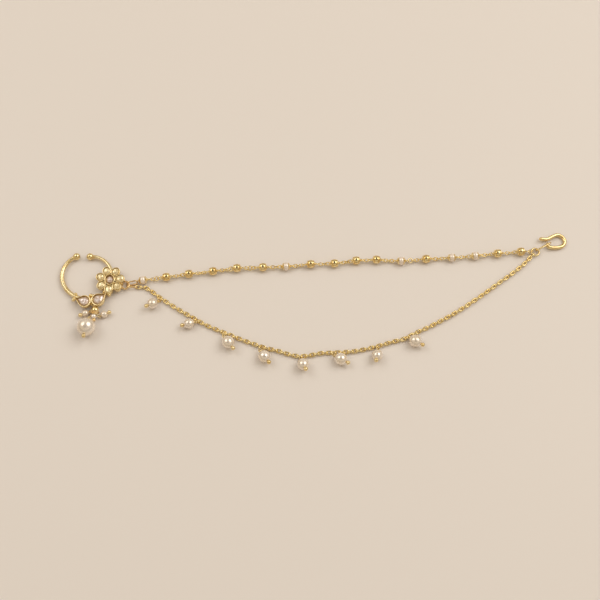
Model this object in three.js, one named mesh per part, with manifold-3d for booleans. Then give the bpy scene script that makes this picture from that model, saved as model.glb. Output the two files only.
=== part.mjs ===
// Nath nose ring: an open gold hoop with a flower and two teardrop settings, a pearl cluster below them,
// a beaded strand and a cable chain with pearl drops, and a wire hook for the hair. It lies flat.
// Millimetres, +Z up. The jewel's length runs along X, and its underside is at z = 0.
import * as THREE from 'three';
import { mergeVertices } from 'three/addons/utils/BufferGeometryUtils.js';
import Module from 'manifold-3d';

const wasm = await Module();
wasm.setup();

const hoop = {
  x: -93.25, y: 10.0,                      // centre
  long: 10.6, short: 9.6, longDeg: 150,    // a slightly oval line: half sizes and the long axis
  startDeg: 119.5, endDeg: 447,            // from the left ball round to the right ball
  bendFromDeg: 405, bend: 0.85,            // the right end turns in by this much
  thinWire: 0.7, thickWire: 1.0,           // wire radius at the ends and at its heaviest
  heaviestDeg: 215,
  tiltDeg: 1, ballY: 8.9,                  // the balls hold the open end a little higher
  ballRadius: 1.45, ballFlatRadius: 0.45,  // each ball has a small polished flat facing the gap
  ballRows: 6, ballSides: 10, steps: 44,
};
hoop.z = hoop.ballRadius - hoop.ballY * Math.sin(THREE.MathUtils.degToRad(hoop.tiltDeg));

const flower = {
  x: 9.7, y: -2.1, z: 0.65, tiltDeg: 3,     // from the hoop's centre
  petals: 7, firstPetalDeg: 8, petalRing: 4.0,
  petalLong: 1.98, petalWide: 1.75,        // half sizes of a petal's rim
  wall: 0.42, plate: 0.5, rimHeight: 1.1,
  centreLong: 2.3, centreWide: 2.1, centreHeight: 1.6,
  centreSink: 0.3,                         // the centre stone is this much smaller than its opening
};

const teardrop = {
  length: 7.0, width: 5.0, plate: 0.4, rimHeight: 1.3, z: 0.75,
  wall: 0.45, lengthWalls: 3,              // the sharp point and round end take three walls off the length
};
const teardrops = [
  { name: 'teardrop_stone_left', x: -0.75, y: -11.2, turnDeg: 163 },
  { name: 'teardrop_stone_right', x: 6.1, y: -10.2, turnDeg: 41 },
];

const granules = [
  { x: -4.05, y: -8.0, z: 0.6, radius: 0.8 },
  { x: -4.7, y: -10.25, z: 0.6, radius: 0.8 },
  { x: 2.1, y: -8.5, z: 0.8, radius: 0.75 },
  { x: 3.1, y: -8.7, z: 0.9, radius: 0.75 },
  { x: 9.6, y: -8.1, z: 0.7, radius: 0.8 },
  { x: 7.4, y: -7.0, z: 0.95, radius: 0.5 },
];

const weld = 1e-4;                         // corners this close are one corner
const counts = {                           // facets round and along the small round pieces
  wire: 8, wireLoop: [6, 10], jumpRing: [8, 14], granule: [7, 5], clusterBead: 10, strandBead: 8,
  bottomPearl: [8, 6], bottomBall: [7, 5], pinBall: [6, 5], pinWire: 5, pinLoop: [5, 8],
};

const stoneGap = 0.08;                     // setting gap round each stone
const petalCut = { girdle: 0.3, crown: 0.45, inset: 0.4, curveSegments: 5 };
const centreCut = { girdle: 0.6, crown: 0.55, inset: 0.5, curveSegments: 6 };
const teardropCut = { girdle: 0.4, crown: 0.6, inset: 0.5, curveSegments: 4 };

const pearlBore = 0.45;
const largePearlFrom = 3;                  // pearls wider than this get finer facets
const largeFacets = { rows: 8, sides: 14 };
const smallFacets = { rows: 6, sides: 9 };
const pin = { wire: 0.18, ball: 0.76, loop: 0.42, neck: 0.15, play: 0.05 };

const cluster = {
  bead: { x: -88.8, y: -4.95, height: 1.95, radius: 1.6 },
  bottom: { x: -89.1, y: -7.75, z: 2.3, radius: 1.15, ball: 0.76, sunk: 0.45, turnDeg: -78, riseDeg: 8 },
  loop: { x: 2.85, y: -12.2, z: 0.75, radius: 0.55, wire: 0.2, turnDeg: 100 },
};
const clusterBeadProfile = [               // shares of the bead's radius, the cap's rim last but one
  { out: 0, up: 1 },
  { out: 0.7, up: 0.71 },
  { out: 1, up: 0 },
  { out: 0.9, up: -0.45 },
  { out: 1.2, up: -0.68 },
  { out: 0.95, up: -0.95 },
  { out: 0, up: -1 },
];
const clusterDrops = [
  { name: 'cluster_left', x: -92.75, y: -6.0, across: 1.4, along: 1.45, turnDeg: 205, riseDeg: 6 },
  { name: 'cluster_right', x: -85.1, y: -6.5, across: 1.4, along: 1.45, turnDeg: 22, riseDeg: 6 },
  { name: 'large', x: -91.5, y: -12.6, across: 3.7, along: 3.75, turnDeg: -96, riseDeg: 15 },
];

const chainDrops = [
  { x: -65.9, y: -2.1, across: 2.12, along: 2.22, turnDeg: -147, riseDeg: 24 },
  { x: -50.8, y: -10.7, across: 2.06, along: 2.16, turnDeg: -164, riseDeg: 4 },
  { x: -34.9, y: -18.7, across: 2.46, along: 2.66, turnDeg: -53, riseDeg: 7 },
  { x: -20.5, y: -24.6, across: 2.37, along: 2.56, turnDeg: -54, riseDeg: 10 },
  { x: -5.2, y: -27.9, across: 2.36, along: 2.48, turnDeg: -67, riseDeg: 32 },
  { x: 9.7, y: -25.7, across: 2.4, along: 2.56, turnDeg: -30, riseDeg: 5 },
  { x: 24.1, y: -24.1, across: 2.17, along: 2.33, turnDeg: -103, riseDeg: 30 },
  { x: 39.4, y: -18.2, across: 2.38, along: 2.58, turnDeg: -31, riseDeg: 5 },
];

const ring = { radius: 1.6, wire: 0.35 };
const connectorRing = { x: -77.57, y: 6.4, z: 1.0 };
const endRing = { x: 90.7, y: 21.3, z: 0.95 };
const lug = { x: 13.96, y: -3.4, z: -0.1, radius: 0.85, wire: 0.2, turnDeg: 0 };  // from the hoop's centre

const ovalLinks = [                        // stretched rings that stand on edge
  { name: 'strand_link', x: -74.8, y: 7.3, radius: 0.8, wire: 0.25, straight: 1.3, turnDeg: 12 },
  { name: 'chain_link', x: -74.8, y: 5.7, radius: 0.8, wire: 0.25, straight: 1.3, turnDeg: -3 },
  { name: 'hook_link', x: 94.12, y: 23.49, radius: 1.2, wire: 0.22, straight: 2.32, turnDeg: 29.5 },
];

const strand = { height: 1.75, thread: 0.45, beadRadius: 1.75, beadLength: 3.6, bore: 0.68, steps: 64 };
const strandBeadProfile = [                // shares of the bead's radius and of half its length
  { out: 0.75, along: -0.85 },
  { out: 1, along: -0.4 },
  { out: 1, along: 0.4 },
  { out: 0.75, along: 0.85 },
];
const strandStart = { x: -72.2, y: 7.95 };
const strandEnd = { x: 88.55, y: 21.25 };
const strandBeads = [
  { x: -70.4, y: 8.3 },
  { x: -60.9, y: 9.7 },
  { x: -51.8, y: 11.1 },
  { x: -42.0, y: 12.3 },
  { x: -32.2, y: 13.7 },
  { x: -21.6, y: 14.1 },
  { x: -12.1, y: 14.4 },
  { x: -2.0, y: 15.5 },
  { x: 7.7, y: 15.8 },
  { x: 16.7, y: 17.1 },
  { x: 25.0, y: 17.5 },
  { x: 35.1, y: 16.9 },
  { x: 45.4, y: 17.8 },
  { x: 56.0, y: 18.4 },
  { x: 65.7, y: 19.2 },
  { x: 75.0, y: 20.3 },
  { x: 84.6, y: 21.1 },
];

const chain = { height: 0.9, radius: 0.9, steps: 72 };
const chainRoute = [
  [-72.15, 5.6], [-69.6, 5.4], [-66.7, 3.7], [-64.0, 1.6], [-59.0, -1.9], [-54.0, -5.1],
  [-49.0, -8.0], [-44.1, -10.9], [-39.2, -13.1], [-34.4, -15.1], [-29.5, -17.2], [-24.7, -19.0],
  [-19.9, -20.7], [-15.1, -21.9], [-10.4, -23.4], [-6.4, -24.1], [-2.4, -23.7], [1.5, -22.9],
  [6.3, -22.6], [11.1, -22.4], [15.8, -21.9], [20.6, -20.9], [25.4, -19.6], [30.2, -18.1],
  [35.1, -16.8], [40.0, -14.2], [44.9, -11.9], [49.8, -9.3], [54.8, -6.5], [59.8, -3.3],
  [64.9, 0.2], [70.0, 3.9], [75.2, 7.8], [80.4, 11.6], [85.7, 15.9], [89.3, 19.75],
];

const hook = { wire: 0.74, steps: 36, restX: 103.4, tiltDeg: 4.4 };
const hookRoute = [
  [92.6, 26.95], [95.9, 26.95], [98.4, 28.25], [100.6, 29.1], [102.6, 28.1], [103.4, 26.1],
  [102.35, 24.1], [100.0, 23.3], [97.3, 23.25], [96.05, 23.8], [95.95, 25.3],
];

const gold = new THREE.MeshStandardMaterial({ color: 0xd8a84e, roughness: 0.28, metalness: 1 });
const pearl = new THREE.MeshStandardMaterial({ color: 0xf4ead8, roughness: 0.25, metalness: 0 });
const champagneStone = new THREE.MeshStandardMaterial({ color: 0xf0d3a6, roughness: 0.1, metalness: 0 });
const clearStone = new THREE.MeshStandardMaterial({ color: 0xe6d2c4, roughness: 0.05, metalness: 0 });

// ---- helpers -------------------------------------------------------------------------------------

const radians = THREE.MathUtils.degToRad;

function named(name, geometry, material) {
  const mesh = new THREE.Mesh(geometry, material);
  mesh.name = name;
  return mesh;
}

function moved(geometry, x, y, z, turnDeg = 0) {
  geometry.rotateZ(radians(turnDeg));
  geometry.translate(x, y, z);
  return geometry;
}

function toSolid(geometry) {
  const bare = geometry.clone();
  bare.deleteAttribute('normal');
  bare.deleteAttribute('uv');
  const merged = mergeVertices(bare, weld);
  return new wasm.Manifold(new wasm.Mesh({
    numProp: 3,
    vertProperties: new Float32Array(merged.attributes.position.array),
    triVerts: new Uint32Array(merged.index.array),
  }));
}

function toGeometry(solid) {
  const mesh = solid.getMesh();
  const geometry = new THREE.BufferGeometry();
  geometry.setAttribute('position', new THREE.BufferAttribute(mesh.vertProperties, 3));
  geometry.setIndex(new THREE.BufferAttribute(mesh.triVerts, 1));
  geometry.computeVertexNormals();
  return geometry;
}

function joined(geometries) {
  const solids = geometries.map(toSolid);
  return toGeometry(solids.reduce((whole, next) => whole.add(next)));
}

// A round section whose flats face up, down and sideways.
function wireSection(radius, sides = counts.wire) {
  const corners = [];
  for (let i = 0; i < sides; i += 1) {
    const angle = (2 * Math.PI * (i + 0.5)) / sides;
    corners.push(new THREE.Vector2(radius * Math.cos(angle), radius * Math.sin(angle)));
  }
  return new THREE.Shape(corners);
}

function tube(path, radius, steps) {
  return new THREE.ExtrudeGeometry(wireSection(radius), { steps, extrudePath: path, bevelEnabled: false });
}

function flatRoute(points, height) {
  const places = points.map(([x, y]) => new THREE.Vector3(x, y, height));
  return new THREE.CatmullRomCurve3(places, false, 'centripetal');
}

// A torus stretched along X, lying in the XZ plane.
function ovalLoop(straight, radius, wire) {
  const geometry = new THREE.TorusGeometry(radius, wire, ...counts.wireLoop);
  const position = geometry.attributes.position;
  for (let i = 0; i < position.count; i += 1) {
    position.setX(i, position.getX(i) + Math.sign(position.getX(i)) * straight);
  }
  geometry.rotateX(Math.PI / 2);
  return geometry;
}

// ---- nose ring -----------------------------------------------------------------------------------

function hoopPoint(deg, target = new THREE.Vector3()) {
  const angle = radians(deg);
  const fromLong = radians(deg - hoop.longDeg);
  const oval = (hoop.long * hoop.short)
    / Math.hypot(hoop.short * Math.cos(fromLong), hoop.long * Math.sin(fromLong));
  const late = Math.max(0, (deg - hoop.bendFromDeg) / (hoop.endDeg - hoop.bendFromDeg));
  const radius = oval - hoop.bend * late * late;
  return target.set(radius * Math.cos(angle), radius * Math.sin(angle), 0);
}

class HoopLine extends THREE.Curve {
  getPoint(t, target) {
    return hoopPoint(THREE.MathUtils.lerp(hoop.startDeg, hoop.endDeg, t), target);
  }
}

function wireRadiusAt(angle) {
  const weight = (1 + Math.cos(angle - radians(hoop.heaviestDeg))) / 2;
  return hoop.thinWire + (hoop.thickWire - hoop.thinWire) * weight * weight;
}

function hoopWire() {
  const geometry = tube(new HoopLine(), 1, hoop.steps);
  const position = geometry.attributes.position;
  const centre = new THREE.Vector3();
  const point = new THREE.Vector3();
  for (let i = 0; i < position.count; i += 1) {
    point.fromBufferAttribute(position, i);
    let deg = THREE.MathUtils.radToDeg(Math.atan2(point.y, point.x));
    if (deg < (hoop.startDeg + hoop.endDeg - 360) / 2) deg += 360;
    hoopPoint(deg, centre);
    point.sub(centre).multiplyScalar(wireRadiusAt(radians(deg))).add(centre);
    position.setXYZ(i, point.x, point.y, point.z);
  }
  return geometry;
}

// A ball with a flat at one pole; side is +1 when the flat faces +X, -1 when it faces -X.
function endBall(deg, side) {
  const flatAngle = Math.asin(hoop.ballFlatRadius / hoop.ballRadius);
  const profile = [];
  for (let i = 0; i <= hoop.ballRows; i += 1) {
    const angle = Math.PI - (i / hoop.ballRows) * (Math.PI - flatAngle);
    profile.push(new THREE.Vector2(hoop.ballRadius * Math.sin(angle), hoop.ballRadius * Math.cos(angle)));
  }
  profile[0].x = 0;
  profile.push(new THREE.Vector2(0, hoop.ballRadius * Math.cos(flatAngle)));
  const geometry = new THREE.LatheGeometry(profile, hoop.ballSides);
  geometry.rotateZ(-side * Math.PI / 2);
  const { x, y } = hoopPoint(deg);
  return moved(geometry, x, y, 0);
}

function ellipseShape(halfX, halfY) {
  return new THREE.Shape().absellipse(0, 0, halfX, halfY, 0, 2 * Math.PI, false, 0);
}

// A cup of sheet metal: a plate with a wall round it, in the outline's own frame.
function setting(outline, opening, wallHeight, plateThickness, curveSegments) {
  const wall = new THREE.Shape(outline.getPoints(curveSegments));
  wall.holes.push(new THREE.Path(opening.getPoints(curveSegments)));
  const options = { curveSegments, bevelEnabled: false };
  const plateShape = new THREE.Shape(outline.getPoints(curveSegments));
  const plate = new THREE.ExtrudeGeometry(plateShape, { ...options, depth: plateThickness });
  const rim = new THREE.ExtrudeGeometry(wall, { ...options, depth: wallHeight + plateThickness });
  return [plate, rim];
}

function petalPlaces() {
  const places = [];
  for (let i = 0; i < flower.petals; i += 1) {
    const deg = flower.firstPetalDeg + (360 / flower.petals) * i;
    places.push({
      x: flower.petalRing * Math.cos(radians(deg)),
      y: flower.petalRing * Math.sin(radians(deg)),
      deg,
    });
  }
  return places;
}

function inFlower(geometry) {
  geometry.rotateX(radians(flower.tiltDeg));
  return moved(geometry, flower.x, flower.y, flower.z);
}

function flowerSetting() {
  const pieces = [];
  for (const place of petalPlaces()) {
    const cup = setting(
      ellipseShape(flower.petalLong, flower.petalWide),
      ellipseShape(flower.petalLong - flower.wall, flower.petalWide - flower.wall),
      flower.rimHeight, flower.plate, petalCut.curveSegments,
    );
    pieces.push(...cup.map((piece) => inFlower(moved(piece, place.x, place.y, 0, place.deg))));
  }
  const centre = setting(
    ellipseShape(flower.centreWide, flower.centreLong),
    ellipseShape(flower.centreWide - flower.wall, flower.centreLong - flower.wall),
    flower.centreHeight, flower.plate, centreCut.curveSegments,
  );
  pieces.push(...centre.map(inFlower));
  return pieces;
}

// The point is at +X, the round end at -X, and the middle of its length at the origin.
function teardropShape(length, width) {
  const half = length / 2;
  const shape = new THREE.Shape();
  shape.moveTo(half, 0);
  shape.bezierCurveTo(half * 0.45, width * 0.12, half * 0.3, width / 2, -half * 0.25, width / 2);
  shape.bezierCurveTo(-half * 0.75, width / 2, -half, width * 0.3, -half, 0);
  shape.bezierCurveTo(-half, -width * 0.3, -half * 0.75, -width / 2, -half * 0.25, -width / 2);
  shape.bezierCurveTo(half * 0.3, -width / 2, half * 0.45, -width * 0.12, half, 0);
  return shape;
}

function teardropSettings() {
  const { length, width, wall, lengthWalls, plate, rimHeight, z } = teardrop;
  const outline = teardropShape(length, width);
  const opening = teardropShape(length - lengthWalls * wall, width - 2 * wall);
  return teardrops.flatMap(({ x, y, turnDeg }) => {
    const cup = setting(outline, opening, rimHeight, plate, teardropCut.curveSegments);
    return cup.map((piece) => moved(piece, x, y, z, turnDeg));
  });
}

function granuleBalls() {
  return granules.map(({ x, y, z, radius }) => {
    const ball = new THREE.SphereGeometry(radius, ...counts.granule);
    return moved(ball, x, y, z);
  });
}

function smallLoop({ x, y, z, radius, wire, turnDeg }) {
  const loop = new THREE.TorusGeometry(radius, wire, ...counts.wireLoop);
  return moved(loop.rotateX(Math.PI / 2), x, y, z, turnDeg);
}

function noseRing() {
  return named('nose_ring', joined([
    hoopWire(),
    endBall(hoop.startDeg, 1),
    endBall(hoop.endDeg, -1),
    ...flowerSetting(),
    ...teardropSettings(),
    ...granuleBalls(),
    smallLoop(lug),
    smallLoop(cluster.loop),
  ]), gold);
}

// ---- stones --------------------------------------------------------------------------------------

// A domed stone: straight girdle, bevelled crown and a flat table.
function stone(shape, { girdle, crown, inset, curveSegments }) {
  const geometry = new THREE.ExtrudeGeometry(shape, {
    depth: girdle,
    curveSegments,
    bevelEnabled: true,
    bevelThickness: crown,
    bevelSize: inset,
    bevelOffset: -inset,
    bevelSegments: 1,
  });
  return geometry.translate(0, 0, crown);
}

function flowerStones() {
  const long = flower.petalLong - flower.wall - stoneGap;
  const wide = flower.petalWide - flower.wall - stoneGap;
  const seat = flower.plate + stoneGap;
  const stones = petalPlaces().map((place, i) => {
    const geometry = stone(ellipseShape(long, wide), petalCut);
    inFlower(moved(geometry, place.x, place.y, seat, place.deg));
    return named(`petal_stone_${i + 1}`, geometry, champagneStone);
  });
  const centreLong = flower.centreLong - flower.wall - flower.centreSink;
  const centreWide = flower.centreWide - flower.wall - flower.centreSink;
  const centre = stone(ellipseShape(centreWide, centreLong), centreCut);
  inFlower(moved(centre, 0, 0, seat));
  return [...stones, named('centre_stone', centre, clearStone)];
}

function teardropStones() {
  const room = teardrop.wall + stoneGap;
  const length = teardrop.length - teardrop.lengthWalls * room;
  const width = teardrop.width - 2 * room;
  return teardrops.map(({ name, x, y, turnDeg }) => {
    const geometry = stone(teardropShape(length, width), teardropCut);
    return named(name, moved(geometry, x, y, teardrop.z + teardrop.plate + stoneGap, turnDeg), clearStone);
  });
}

// ---- pearls, pins and beads ----------------------------------------------------------------------

// A bored ball round Y: across is its radius, along is half its length.
function boredBall(across, along, bore, { rows, sides }) {
  const mouth = Math.asin(bore / across);
  const profile = [];
  for (let i = 0; i <= rows; i += 1) {
    const angle = Math.PI - mouth - (i / rows) * (Math.PI - 2 * mouth);
    profile.push(new THREE.Vector2(across * Math.sin(angle), along * Math.cos(angle)));
  }
  profile.push(profile[0].clone());
  return new THREE.LatheGeometry(profile, sides);
}

// A head pin along Y: the ball at -Y, the wire through the pearl, and the loop at +Y.
function headPin(along) {
  const ballCentre = -(along + pin.ball + pin.play);
  const loopCentre = along + pin.neck + pin.loop;
  const ball = moved(new THREE.SphereGeometry(pin.ball, ...counts.pinBall), 0, ballCentre, 0);
  const wireLength = loopCentre - pin.loop - ballCentre;
  const wire = new THREE.CylinderGeometry(pin.wire, pin.wire, wireLength, counts.pinWire);
  wire.translate(0, ballCentre + wireLength / 2, 0);
  const loop = new THREE.TorusGeometry(pin.loop, pin.wire, ...counts.pinLoop);
  loop.translate(0, loopCentre, 0);
  return joined([ball, wire, loop]);
}

// Half the height that a lying, tilted oval takes up: the pearl touches what it lies on.
function restHeight(across, along, riseDeg) {
  return Math.hypot(across * Math.cos(radians(riseDeg)), along * Math.sin(radians(riseDeg)));
}

function drop({ name, x, y, across, along, turnDeg, riseDeg }) {
  const group = new THREE.Group();
  group.position.set(x, y, restHeight(across, along, riseDeg));
  group.rotation.order = 'ZXY';
  group.rotation.z = radians(turnDeg + 90);
  group.rotation.x = radians(-riseDeg);
  const facets = across > largePearlFrom ? largeFacets : smallFacets;
  const body = boredBall(across, along, pearlBore, facets);
  group.add(named(`${name}_pearl`, body, pearl));
  group.add(named(`${name}_pin`, headPin(along), gold));
  return group;
}

function clusterBead() {
  const { x, y, radius, height } = cluster.bead;
  const profile = clusterBeadProfile.map(({ out, up }) => new THREE.Vector2(radius * out, radius * up));
  const bead = new THREE.LatheGeometry(profile.reverse(), counts.clusterBead);
  return named('cluster_bead', moved(bead, x, y, height), gold);
}

function bottomDrop() {
  const { x, y, z, radius, ball, sunk, turnDeg, riseDeg } = cluster.bottom;
  const body = new THREE.SphereGeometry(radius, ...counts.bottomPearl);
  const tip = new THREE.SphereGeometry(ball, ...counts.bottomBall);
  tip.translate(0, -radius - ball * sunk, 0);
  const mesh = named('cluster_bottom_drop', joined([body, tip]), pearl);
  mesh.position.set(x, y, z);
  mesh.rotation.order = 'ZXY';
  mesh.rotation.z = radians(turnDeg + 90);
  mesh.rotation.x = radians(-riseDeg);
  return mesh;
}

function strandLine() {
  const points = [strandStart, ...strandBeads, strandEnd].map(({ x, y }) => [x, y]);
  return flatRoute(points, strand.height);
}

function strandBead(index) {
  const places = [strandStart, ...strandBeads, strandEnd];
  const before = places[index];
  const after = places[index + 2];
  const half = strand.beadLength / 2;
  const bore = [-half, half].map((along) => new THREE.Vector2(strand.bore, along));
  const barrel = strandBeadProfile
    .map(({ out, along }) => new THREE.Vector2(strand.beadRadius * out, half * along));
  const profile = [bore[0], ...barrel, bore[1], bore[0]];
  const geometry = new THREE.LatheGeometry(profile, counts.strandBead);
  const mesh = named(`strand_bead_${index + 1}`, geometry, gold);
  const { x, y } = strandBeads[index];
  mesh.position.set(x, y, strand.height);
  mesh.rotation.z = Math.atan2(after.y - before.y, after.x - before.x) - Math.PI / 2;
  return mesh;
}

// ---- rings, links and hook -----------------------------------------------------------------------

function jumpRing(name, { x, y, z }) {
  const circle = new THREE.TorusGeometry(ring.radius, ring.wire, ...counts.jumpRing);
  return named(name, moved(circle, x, y, z), gold);
}

function ovalLink({ name, x, y, radius, wire, straight, turnDeg }) {
  return named(name, moved(ovalLoop(straight, radius, wire), x, y, radius + wire, turnDeg), gold);
}

// The link under its near end holds the hook up a little.
function tiltedHook() {
  const places = hookRoute.map(([x, y]) => [x - hook.restX, y]);
  const mesh = named('hook', tube(flatRoute(places, hook.wire), hook.wire, hook.steps), gold);
  mesh.position.x = hook.restX;
  mesh.rotation.y = radians(hook.tiltDeg);
  return mesh;
}

// ---- assembly ------------------------------------------------------------------------------------

const noseRingGroup = new THREE.Group();
noseRingGroup.position.set(hoop.x, hoop.y, hoop.z);
noseRingGroup.rotation.x = radians(hoop.tiltDeg);
noseRingGroup.add(noseRing(), ...flowerStones(), ...teardropStones());

const jewel = new THREE.Group();
jewel.add(noseRingGroup);
jewel.add(clusterBead(), bottomDrop());
clusterDrops.forEach((row) => jewel.add(drop(row)));
jewel.add(jumpRing('connector_ring', connectorRing), jumpRing('end_ring', endRing));
ovalLinks.forEach((row) => jewel.add(ovalLink(row)));
jewel.add(named('strand_thread', tube(strandLine(), strand.thread, strand.steps), gold));
strandBeads.forEach((row, i) => jewel.add(strandBead(i)));
jewel.add(named('cable_chain', tube(flatRoute(chainRoute, chain.height), chain.radius, chain.steps), gold));
chainDrops.forEach((row, i) => jewel.add(drop({ name: `drop_${i + 1}`, ...row })));
jewel.add(tiltedHook());

// The origin is under the middle of the whole jewel.
jewel.updateMatrixWorld(true);
const extent = new THREE.Box3().setFromObject(jewel, true);
const middle = extent.getCenter(new THREE.Vector3());
jewel.position.set(-middle.x, -middle.y, -extent.min.z);

export default jewel;
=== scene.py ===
import math
import random

import bmesh
import bpy
from mathutils import Matrix, Vector, noise


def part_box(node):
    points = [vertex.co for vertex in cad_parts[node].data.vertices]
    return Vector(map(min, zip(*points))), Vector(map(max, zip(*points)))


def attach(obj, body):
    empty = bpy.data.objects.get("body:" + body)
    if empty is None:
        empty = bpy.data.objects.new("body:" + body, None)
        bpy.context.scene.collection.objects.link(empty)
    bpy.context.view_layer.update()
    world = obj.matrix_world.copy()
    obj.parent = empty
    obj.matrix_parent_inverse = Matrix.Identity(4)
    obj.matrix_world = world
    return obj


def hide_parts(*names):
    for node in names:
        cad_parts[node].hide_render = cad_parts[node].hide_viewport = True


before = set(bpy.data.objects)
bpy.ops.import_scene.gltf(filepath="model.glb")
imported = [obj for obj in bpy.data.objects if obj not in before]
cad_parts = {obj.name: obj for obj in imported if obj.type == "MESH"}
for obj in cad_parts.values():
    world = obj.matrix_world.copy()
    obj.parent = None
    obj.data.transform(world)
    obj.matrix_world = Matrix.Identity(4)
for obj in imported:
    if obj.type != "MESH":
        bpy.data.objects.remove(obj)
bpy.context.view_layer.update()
print("frame loaded:", len(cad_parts), "nodes")

mm = 0.001
endRing = dict(x=90.7, y=21.3, z=0.95, radius=1.6, wire=0.35)
ringLow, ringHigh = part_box("end_ring")
origin = (ringLow + ringHigh) / 2 - Vector((endRing["x"], endRing["y"], 0)) * mm
origin.z = 0  # the jewel's own zero, on the surface it lies on

scene = bpy.context.scene
scene.view_settings.view_transform = "Standard"


def setInputs(node, values):
    for label, value in values.items():
        node.inputs[label].default_value = value


# ---- camera, light and floor

camera = dict(elevation=68, distance=405.94, lens=60, aimX=-6.403, aimY=0.30, nearest=0.01)


def addCamera():
    tilt = math.radians(camera["elevation"])
    back = Vector((0, -math.cos(tilt), math.sin(tilt))) * camera["distance"] * mm
    aim = origin + Vector((camera["aimX"], camera["aimY"], 0)) * mm
    bpy.ops.object.camera_add(location=aim + back, rotation=(math.pi / 2 - tilt, 0, 0))
    eye = bpy.context.object
    eye.data.lens = camera["lens"]
    eye.data.clip_start = camera["nearest"]
    scene.camera = eye


studio = dict(
    lamps=[  # direction from the jewel, distance, size across, watts, seen in reflections
        dict(name="windowLeft", towards=(-0.543, 0.264, 0.797), away=1.5, size=1.05, power=5.0, shines=True),
        dict(name="windowRight", towards=(0.559, 0.267, 0.785), away=1.5, size=1.15, power=7.6, shines=True),
        dict(name="ceilingFill", towards=(0.36, 0.26, 0.90), away=1.7, size=2.4, power=5.6, shines=False),
    ],
    lampColor=(1.0, 0.985, 0.96),
    sky=[  # height in the room and its colour: dark walls, a bright band, a dim ceiling
        (0.06, (0.25, 0.20, 0.15)), (0.42, (0.59, 0.51, 0.40)), (0.74, (0.59, 0.51, 0.40)),
        (0.95, (0.13, 0.10, 0.08)),
    ],
    floorSize=4.0, floorColor=(0.785, 0.725, 0.668), floorRoughness=0.55,
)


def addStudio():
    for lamp in studio["lamps"]:
        towards = Vector(lamp["towards"]).normalized()
        bpy.ops.object.light_add(type="AREA", location=towards * lamp["away"])
        light = bpy.context.object
        light.name = lamp["name"]
        light.rotation_euler = (-towards).to_track_quat("-Z", "Y").to_euler()
        light.visible_glossy = lamp["shines"]
        light.data.shape = "DISK"
        light.data.size = lamp["size"]
        light.data.energy = lamp["power"]
        light.data.color = studio["lampColor"]
    world = bpy.data.worlds.new("studioRoom")
    world.use_nodes = True
    scene.world = world
    nodes, links = world.node_tree.nodes, world.node_tree.links
    direction = nodes.new("ShaderNodeTexCoord")
    split = nodes.new("ShaderNodeSeparateXYZ")
    ramp = nodes.new("ShaderNodeValToRGB")
    stops = ramp.color_ramp.elements
    for i, (height, color) in enumerate(studio["sky"]):
        stop = stops[i] if i < 2 else stops.new(height)
        stop.position = height
        stop.color = (*color, 1)
    links.new(direction.outputs["Generated"], split.inputs[0])
    links.new(split.outputs["Z"], ramp.inputs["Fac"])
    links.new(ramp.outputs["Color"], nodes["Background"].inputs["Color"])


def plainMaterial(name):
    material = bpy.data.materials.new(name)
    material.use_nodes = True
    return material, material.node_tree.nodes["Principled BSDF"]


def addFloor():
    bpy.ops.mesh.primitive_plane_add(size=studio["floorSize"])
    floor = bpy.context.object
    floor.name = "floor"
    paper, shader = plainMaterial("paleFloor")
    setInputs(shader, {"Base Color": (*studio["floorColor"], 1), "Roughness": studio["floorRoughness"]})
    floor.data.materials.append(paper)


addCamera()
addStudio()
addFloor()
print("camera, lights and floor are in place")


# ---- finishes: shared node groups

def newGroup(name, inputs, outputs):  # a colour where the default is one, and numbers otherwise
    group = bpy.data.node_groups.new(name, "ShaderNodeTree")
    for label, value in inputs.items():
        kind = "NodeSocketColor" if isinstance(value, tuple) else "NodeSocketFloat"
        socket = group.interface.new_socket(label, in_out="INPUT", socket_type=kind)
        socket.default_value = value
    for label in outputs:
        kind = "NodeSocketColor" if label == "Colour" else "NodeSocketFloat"
        group.interface.new_socket(label, in_out="OUTPUT", socket_type=kind)
    return group, group.nodes.new("NodeGroupInput").outputs, group.nodes.new("NodeGroupOutput").inputs


def objectPlace(group):
    return group.nodes.new("ShaderNodeTexCoord").outputs["Object"]


def addNoise(group, scale, detail, source):
    texture = group.nodes.new("ShaderNodeTexNoise")
    setInputs(texture, dict(Scale=scale, Detail=detail))
    group.links.new(source, texture.inputs["Vector"])
    return texture.outputs["Fac"]


def addMix(group, factor, low, high, kind="RGBA"):
    mix = group.nodes.new("ShaderNodeMix")
    mix.data_type = kind
    names = [socket for socket in mix.inputs if socket.enabled]
    group.links.new(factor, names[0])
    group.links.new(low, names[1])
    group.links.new(high, names[2])
    return next(socket for socket in mix.outputs if socket.enabled)


def addRange(group, value, low, high):
    span = group.nodes.new("ShaderNodeMapRange")
    setInputs(span, {"From Min": low, "From Max": high})
    group.links.new(value, span.inputs["Value"])
    return span.outputs["Result"]


def makeMetalWear():  # plating that is bright where it is rubbed and duller in patches
    inputs = dict(Bright=(1, 1, 1, 1), Dull=(0.5, 0.5, 0.5, 1), Polish=0.15, Haze=0.3)
    group, given, made = newGroup("metalWear", inputs, ["Colour", "Roughness", "Height"])
    place = objectPlace(group)
    patches = addRange(group, addNoise(group, 420, 3, place), 0.38, 0.68)
    scratches = addRange(group, addNoise(group, 2600, 4, place), 0.3, 0.75)
    pits = addNoise(group, 1500, 2, place)
    colour = addMix(group, patches, given["Bright"], given["Dull"])
    rough = addMix(group, scratches, given["Polish"], given["Haze"], "FLOAT")
    group.links.new(colour, made["Colour"])
    group.links.new(rough, made["Roughness"])
    group.links.new(pits, made["Height"])
    return group


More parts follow.
